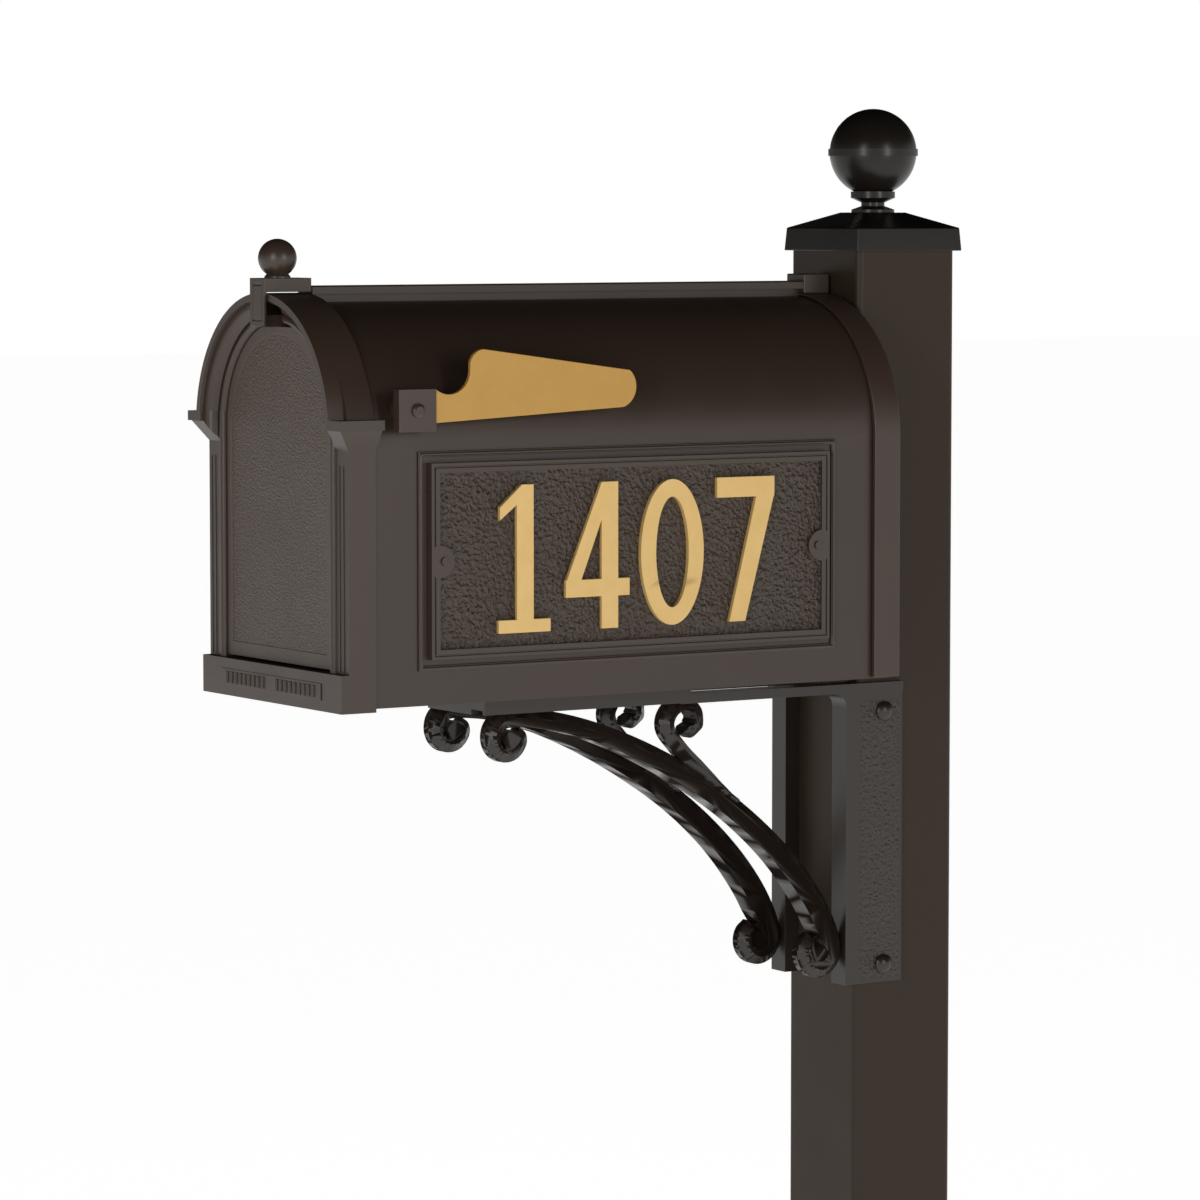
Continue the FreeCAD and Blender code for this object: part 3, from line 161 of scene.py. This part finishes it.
# ------------------------------------------------------------------ materials
def finish_with(tree, shader):
    add(tree, "ShaderNodeOutputMaterial", {"Surface": shader.outputs["BSDF"]})


def new_tree(name):
    material = bpy.data.materials.new(name)
    material.use_nodes = True
    material.node_tree.nodes.clear()
    return material, material.node_tree


def times(tree, first, second):
    return add(tree, "ShaderNodeMath", {0: first, 1: second}, operation="MULTIPLY").outputs[0]


def within(tree, value, low, high):
    """1 where the value lies from low to high, 0 elsewhere."""
    return add(tree, "ShaderNodeMath", {0: value, 1: (low + high) / 2, 2: (high - low) / 2},
               operation="COMPARE").outputs[0]


def powder_coat(name, code, worn, rough, peel=0.25, field=None, pebble=3.4, depth=0.0,
                gloss=0.5):
    """Satin powder coat on cast or sheet metal.

    The paint film has a faint orange peel about 1.6 mm across, and its colour and sheen drift a
    little over the surface.  A cast field has rounded pebbles, pebble mm across and depth mm deep.
    """
    material, tree = new_tree(name)
    place = add(tree, "ShaderNodeTexCoord").outputs["Object"]
    drift = add(tree, "ShaderNodeTexNoise", {"Vector": place, "Scale": 1 / (60 * MM),
                                             "Detail": 3.0, "Roughness": 0.55})
    tint = add(tree, "ShaderNodeMix", {"Factor": drift.outputs["Fac"], "A": colour(code),
                                       "B": colour(worn)}, data_type="RGBA")
    sheen = add(tree, "ShaderNodeMapRange",
                {0: drift.outputs["Fac"], 1: 0.3, 2: 0.7, 3: rough - 0.03, 4: rough + 0.04})
    skin = add(tree, "ShaderNodeTexNoise", {"Vector": place, "Scale": 1 / (1.6 * MM),
                                            "Detail": 2.0, "Roughness": 0.5})
    film = add(tree, "ShaderNodeBump", {"Height": skin.outputs["Fac"], "Strength": peel,
                                        "Distance": 0.03 * MM})
    facing = film.outputs["Normal"]
    paint = tint.outputs["Result"]
    if field:
        mask = field(tree, place)
        bend = add(tree, "ShaderNodeTexNoise", {"Vector": place, "Scale": 1 / (5 * MM),
                                                "Detail": 3.0, "Roughness": 0.6})
        swirl = add(tree, "ShaderNodeVectorMath",
                    {0: bend.outputs["Color"], 1: (2.6 * MM,) * 3}, operation="MULTIPLY")
        moved = add(tree, "ShaderNodeVectorMath", {0: place, 1: swirl.outputs[0]},
                    operation="ADD")
        stones = add(tree, "ShaderNodeTexVoronoi",
                     {"Vector": moved.outputs[0], "Scale": 1 / (pebble * MM),
                      "Smoothness": 0.6, "Randomness": 1.0}, feature="SMOOTH_F1")
        grit = add(tree, "ShaderNodeTexNoise", {"Vector": moved.outputs[0],
                                                "Scale": 1.6 / (pebble * MM), "Detail": 4.0})
        mixed = add(tree, "ShaderNodeMath", {0: grit.outputs["Fac"], 1: 0.9,
                                             2: stones.outputs["Distance"]},
                    operation="MULTIPLY_ADD")
        height = times(tree, mixed.outputs[0], mask)
        facing = add(tree, "ShaderNodeBump", {"Height": height, "Strength": 1.0,
                                              "Distance": depth * MM,
                                              "Normal": facing}).outputs["Normal"]
    shader = add(tree, "ShaderNodeBsdfPrincipled",
                 {"Base Color": paint, "Roughness": sheen.outputs[0], "IOR": 1.5,
                  "Specular IOR Level": gloss, "Normal": facing})
    finish_with(tree, shader)
    return material


def box_field(y, z, side_of=None):
    """The part of a piece that lies in a span of Y and of Z, in metres."""
    def mask(tree, place):
        parts = add(tree, "ShaderNodeSeparateXYZ", {0: place}).outputs
        found = times(tree, within(tree, parts["Y"], *y), within(tree, parts["Z"], *z))
        if side_of is not None:
            outer = add(tree, "ShaderNodeMath", {0: parts["X"]}, operation="ABSOLUTE")
            found = times(tree, found, within(tree, outer.outputs[0], *side_of))
        return found
    return mask


def door_field(half, low, spring, front):
    """The arched field of the door: straight sides up to the spring, half a circle above."""
    def mask(tree, place):
        parts = add(tree, "ShaderNodeSeparateXYZ", {0: place}).outputs
        outer = add(tree, "ShaderNodeMath", {0: parts["X"]}, operation="ABSOLUTE").outputs[0]
        lower = times(tree, within(tree, outer, 0, half), within(tree, parts["Z"], low, spring))
        up = add(tree, "ShaderNodeMath", {0: parts["Z"], 1: spring}, operation="SUBTRACT")
        flat = add(tree, "ShaderNodeCombineXYZ", {"X": parts["X"], "Y": up.outputs[0]})
        far = add(tree, "ShaderNodeVectorMath", {0: flat.outputs[0]}, operation="LENGTH")
        round_part = within(tree, far.outputs["Value"], 0, half)
        both = add(tree, "ShaderNodeMath", {0: lower, 1: round_part}, operation="MAXIMUM")
        return times(tree, both.outputs[0], within(tree, parts["Y"], front[0], front[1]))
    return mask


def gold_paint(name, code, shade):
    """Satin gold enamel: a metallic-looking paint, slightly uneven, with a soft highlight."""
    material, tree = new_tree(name)
    place = add(tree, "ShaderNodeTexCoord").outputs["Object"]
    cloud = add(tree, "ShaderNodeTexNoise", {"Vector": place, "Scale": 1 / (14 * MM),
                                             "Detail": 4.0})
    tint = add(tree, "ShaderNodeMix", {"Factor": cloud.outputs["Fac"], "A": colour(code),
                                       "B": colour(shade)}, data_type="RGBA")
    grain = add(tree, "ShaderNodeTexNoise", {"Vector": place, "Scale": 1 / (0.9 * MM),
                                             "Detail": 2.0})
    film = add(tree, "ShaderNodeBump", {"Height": grain.outputs["Fac"], "Strength": 0.35,
                                        "Distance": 0.04 * MM})
    sheen = add(tree, "ShaderNodeMapRange", {0: cloud.outputs["Fac"], 3: 0.36, 4: 0.46})
    shader = add(tree, "ShaderNodeBsdfPrincipled",
                 {"Base Color": tint.outputs["Result"], "Roughness": sheen.outputs[0],
                  "Metallic": 0.25, "Normal": film.outputs["Normal"]})
    finish_with(tree, shader)
    return material


def zinc_plate(name, code):
    """Bright zinc on turned or pressed steel: grey metal with fine random spangle."""
    material, tree = new_tree(name)
    place = add(tree, "ShaderNodeTexCoord").outputs["Object"]
    spangle = add(tree, "ShaderNodeTexNoise", {"Vector": place, "Scale": 1 / (2.0 * MM),
                                               "Detail": 3.0})
    sheen = add(tree, "ShaderNodeMapRange", {0: spangle.outputs["Fac"], 3: 0.25, 4: 0.42})
    shader = add(tree, "ShaderNodeBsdfPrincipled",
                 {"Base Color": colour(code), "Roughness": sheen.outputs[0], "Metallic": 1.0})
    finish_with(tree, shader)
    return material


# ------------------------------------------------------------------ pieces
SAME_POINT = 2e-6
FLAT_ENOUGH = math.radians(0.6)
EDGE_TURN = math.radians(32.0)
EDGE_STEPS = 2


def softened(node, width, material):
    """A copy of a cast piece with its sharp edges rounded, which stands for the CAD piece."""
    source = NODES[node]
    mesh = bpy.data.meshes.new(node + "_cast")
    shape = bmesh.new()
    shape.from_mesh(source.data)
    bmesh.ops.remove_doubles(shape, verts=shape.verts, dist=SAME_POINT)
    bmesh.ops.dissolve_limit(shape, angle_limit=FLAT_ENOUGH, verts=shape.verts,
                             edges=shape.edges, use_dissolve_boundaries=False)
    shape.to_mesh(mesh)
    shape.free()
    piece = bpy.data.objects.new(node + "_cast", mesh)
    bpy.context.scene.collection.objects.link(piece)
    for face in mesh.polygons:
        face.use_smooth = True
    rounded = piece.modifiers.new("rounded_edges", "BEVEL")
    rounded.width = width * MM
    rounded.segments = EDGE_STEPS
    rounded.limit_method = "ANGLE"
    rounded.angle_limit = EDGE_TURN
    rounded.use_clamp_overlap = True
    level = piece.modifiers.new("flat_faces_stay_flat", "WEIGHTED_NORMAL")
    level.weight = 100
    level.keep_sharp = False
    mesh.materials.append(material)
    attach(piece, BODY_OF[node])
    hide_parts(node)
    return piece


def node_group(name, sockets):
    """An empty geometry tree with its named inputs: (name, socket type)."""
    tree = bpy.data.node_groups.new(name, "GeometryNodeTree")
    tree.interface.new_socket("Geometry", in_out="OUTPUT", socket_type="NodeSocketGeometry")
    for title, kind in sockets:
        tree.interface.new_socket(title, in_out="INPUT", socket_type=kind)
    return tree, add(tree, "NodeGroupInput").outputs


def rounded_rectangle(tree, given):
    """The path: a rectangle with rounded corners in the tree's XY plane."""
    outline = add(tree, "GeometryNodeCurvePrimitiveQuadrilateral",
                  {"Width": given["Width"], "Height": given["Height"]})
    return add(tree, "GeometryNodeFilletCurve",
               {"Curve": outline.outputs[0], "Count": 8, "Radius": given["Corner"]},
               mode="POLY").outputs[0]


def moulding_group(material):
    """A half-round moulding that follows a rounded rectangle."""
    tree, given = node_group("Rectangle moulding", [
        ("Width", "NodeSocketFloat"), ("Height", "NodeSocketFloat"),
        ("Corner", "NodeSocketFloat"), ("Radius", "NodeSocketFloat")])
    path = rounded_rectangle(tree, given)
    section = add(tree, "GeometryNodeCurvePrimitiveCircle",
                  {"Resolution": 16, "Radius": given["Radius"]})
    swept = add(tree, "GeometryNodeCurveToMesh",
                {"Curve": path, "Profile Curve": section.outputs[0], "Fill Caps": True})
    smooth = add(tree, "GeometryNodeSetShadeSmooth", {"Geometry": swept.outputs[0]})
    coated = add(tree, "GeometryNodeSetMaterial",
                 {"Geometry": smooth.outputs[0], "Material": material})
    add(tree, "NodeGroupOutput", {0: coated.outputs[0]})
    return tree


def weld_group(material):
    """Overlapping ripples along a rounded rectangle, a little uneven in size."""
    tree, given = node_group("Weld ripples", [
        ("Width", "NodeSocketFloat"), ("Height", "NodeSocketFloat"),
        ("Corner", "NodeSocketFloat"), ("Radius", "NodeSocketFloat"),
        ("Pitch", "NodeSocketFloat"), ("Seed", "NodeSocketInt")])
    spots = add(tree, "GeometryNodeCurveToPoints",
                {"Curve": rounded_rectangle(tree, given), "Length": given["Pitch"]},
                mode="LENGTH")
    drop = add(tree, "GeometryNodeMeshUVSphere",
               {"Segments": 16, "Rings": 10, "Radius": given["Radius"]})
    uneven = add(tree, "FunctionNodeRandomValue",
                 {2: 0.90, 3: 1.12, "Seed": given["Seed"]}, data_type="FLOAT")
    ripples = add(tree, "GeometryNodeInstanceOnPoints",
                  {"Points": spots.outputs["Points"], "Instance": drop.outputs["Mesh"],
                   "Rotation": spots.outputs["Rotation"], "Scale": uneven.outputs[1]})
    solid = add(tree, "GeometryNodeRealizeInstances", {0: ripples.outputs[0]})
    smooth = add(tree, "GeometryNodeSetShadeSmooth", {"Geometry": solid.outputs[0]})
    coated = add(tree, "GeometryNodeSetMaterial",
                 {"Geometry": smooth.outputs[0], "Material": material})
    add(tree, "NodeGroupOutput", {0: coated.outputs[0]})
    return tree


def grown(name, tree, values, place, body, turn=None):
    """The tree's result as a plain mesh, moved to its place, on its body."""
    seedling = bpy.data.objects.new(name + "_tree", bpy.data.meshes.new(name + "_tree"))
    bpy.context.scene.collection.objects.link(seedling)
    growth = seedling.modifiers.new("growth", "NODES")
    growth.node_group = tree
    for item in tree.interface.items_tree:
        if item.in_out == "INPUT":
            growth[item.identifier] = values[item.name]
    evaluated = seedling.evaluated_get(bpy.context.evaluated_depsgraph_get())
    mesh = bpy.data.meshes.new_from_object(evaluated)
    bpy.data.objects.remove(seedling)
    if turn:
        mesh.transform(turn)
    mesh.transform(Matrix.Translation(place))
    mesh.name = name
    piece = bpy.data.objects.new(name, mesh)
    bpy.context.scene.collection.objects.link(piece)
    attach(piece, body)
    return piece


def painted(node, material):
    source = NODES[node]
    source.data.materials.clear()
    source.data.materials.append(material)


FRAME_LINE = 4.4 * MM
MOULDING_RADIUS = 1.5 * MM
MOULDING_SUNK = 0.4 * MM
WELD_RADIUS = 3.2 * MM
WELD_PITCH = 2.2 * MM


def trim():
    """Mouldings on both side frames and the weld that holds the post to its base plate."""
    upright = Matrix(((0, 0, 1, 0), (1, 0, 0, 0), (0, 1, 0, 0), (0, 0, 0, 1)))
    tree = moulding_group(bronze)
    for side, sign in zip(SIDES, (1, -1)):
        low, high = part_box("side_frame_" + side)
        inset = FRAME_LINE
        middle = (low + high) / 2
        face = high.x if sign > 0 else low.x
        grown("side_moulding_" + side, tree,
              {"Width": high.y - low.y - inset, "Height": high.z - low.z - inset,
               "Corner": 1.0 * MM, "Radius": MOULDING_RADIUS},
              Vector((face - sign * MOULDING_SUNK, middle.y, middle.z)), "post_and_box",
              upright)
    low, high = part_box("post_tube")
    plate_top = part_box("base_plate")[1].z
    # The weld takes the post's darker bronze, with the same painted shade.
    grown("foot_weld", weld_group(bronze_post_painted_darker),
          {"Width": high.x - low.x + 1.5 * MM, "Height": high.y - low.y + 1.5 * MM,
           "Corner": 6.5 * MM, "Radius": WELD_RADIUS, "Pitch": WELD_PITCH, "Seed": 11},
          Vector(((low.x + high.x) / 2, (low.y + high.y) / 2, plate_top)),
          "post_and_box")


camera()
world()
floor()
AIM = Vector((0.0, -0.27, 1.2))
STRIP = {"height": 1.75, "away": 3.2, "wide": 0.32, "tall": 1.3, "watts": 16, "aim": AIM}
lamp("near_strip", azimuth=30, **STRIP)
lamp("far_strip", azimuth=92, **STRIP)
bpy.context.scene.view_settings.view_transform = "Standard"

door_low, door_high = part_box("door_leaf")
plaque_low, plaque_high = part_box("plaque_right")
brace_low, brace_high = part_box("bracket_right")
PLAQUE_RIM = 8.0 * MM
door_half = (door_high.x - door_low.x) / 2

bronze = powder_coat("Satin bronze powder coat", "#3E3026", "#3B2F27", 0.34)
bronze_roof = powder_coat("Satin bronze powder coat, sheet", "#382B23", "#352A22", 0.32)
# The door's bronze is lighter than the rest of the box: painted light that makes up for the dimmer
# studio light falling on its face.
bronze_door_painted_lighter = powder_coat(
    "Satin bronze powder coat, leather grain, painted lighter", "#4B3E34", "#483B32", 0.40, pebble=1.9,
    depth=0.34, field=door_field(door_half - 9 * MM, door_low.z + 11.5 * MM,
                                 door_low.z + 184.1 * MM, (door_low.y - MM, door_low.y + 2 * MM)))
bronze_plaque = powder_coat(
    "Satin bronze powder coat, hammered field", "#3C3027", "#40342B", 0.26, pebble=3.6,
    depth=2.4,
    field=box_field((plaque_low.y + PLAQUE_RIM, plaque_high.y - PLAQUE_RIM),
                    (plaque_low.z + PLAQUE_RIM, plaque_high.z - PLAQUE_RIM),
                    (plaque_low.x, plaque_high.x - 1.6 * MM)))
bronze_bracket = powder_coat(
    "Satin bronze powder coat, hammered bracket", "#28211B", "#2B241E", 0.32, pebble=3.2,
    depth=0.8,
    field=box_field((brace_high.y - 45 * MM, brace_high.y - 3 * MM),
                    (brace_low.z + 4 * MM, brace_high.z - 26 * MM), (50 * MM, 60 * MM)))
bronze_scroll = powder_coat("Satin bronze powder coat, scrolls", "#261F19", "#241D18", 0.30)
# The post's bronze is darker than the box's bronze: painted shade that stands in for less light
# falling on the post.
bronze_post_painted_darker = powder_coat("Satin bronze powder coat, post, painted darker", "#33281E", "#362B21", 0.42,
                          gloss=0.2)
# The cap and finial are a very dark bronze of their own, darkened further as painted shade in
# place of darker surroundings.
bronze_cap_painted_darker = powder_coat("Satin dark bronze powder coat with painted shade, cap", "#181512", "#1D1814", 0.28,
                         gloss=0.35)
gold_flag = gold_paint("Satin gold enamel, flag", "#BE9348", "#B48A40")
gold_digit = gold_paint("Satin gold enamel, numerals", "#E2BE7C", "#D5B06A")
zinc = zinc_plate("Bright zinc plate on steel", "#9A9A98")

CHOICE = {"door_leaf": bronze_door_painted_lighter, "plaque_right": bronze_plaque, "plaque_left": bronze_plaque,
          "bracket_right": bronze_bracket, "bracket_left": bronze_bracket,
          "post_tube": bronze_post_painted_darker, "base_plate": bronze_post_painted_darker, "post_cap": bronze_cap_painted_darker,
          "post_finial": bronze_cap_painted_darker, "flag_arm": gold_flag, "body_shell": bronze_roof}


def material_of(node):
    if node in CHOICE:
        return CHOICE[node]
    if node.startswith("numeral_"):
        return gold_digit
    if node.startswith("scroll_") or node.startswith("bracket_"):
        return bronze_scroll
    if SLOTS[node] in ("zinc_steel", "magnet"):
        return zinc
    return bronze


SOFT = {"front_frame": 0.7, "door_leaf": 0.5, "door_pull": 0.8, "plaque_right": 0.7,
        "plaque_left": 0.7, "side_frame_right": 0.5, "side_frame_left": 0.5,
        "rear_casting": 0.9, "rear_block": 1.0, "flag_arm": 0.6, "bracket_right": 1.0,
        "bracket_left": 1.0, "post_cap": 0.8, "base_plate": 1.0, "block_relief": 0.3,
        "scroll_brace_right": 0.6, "scroll_brace_left": 0.6, "flag_hub": 0.8,
        "bracket_bolt_1": 0.4, "bracket_bolt_2": 0.4}
for name in sorted(NODES):
    if name.startswith("numeral_"):
        softened(name, 0.5, material_of(name))
    elif name in SOFT:
        softened(name, SOFT[name], material_of(name))
    else:
        painted(name, material_of(name))
trim()
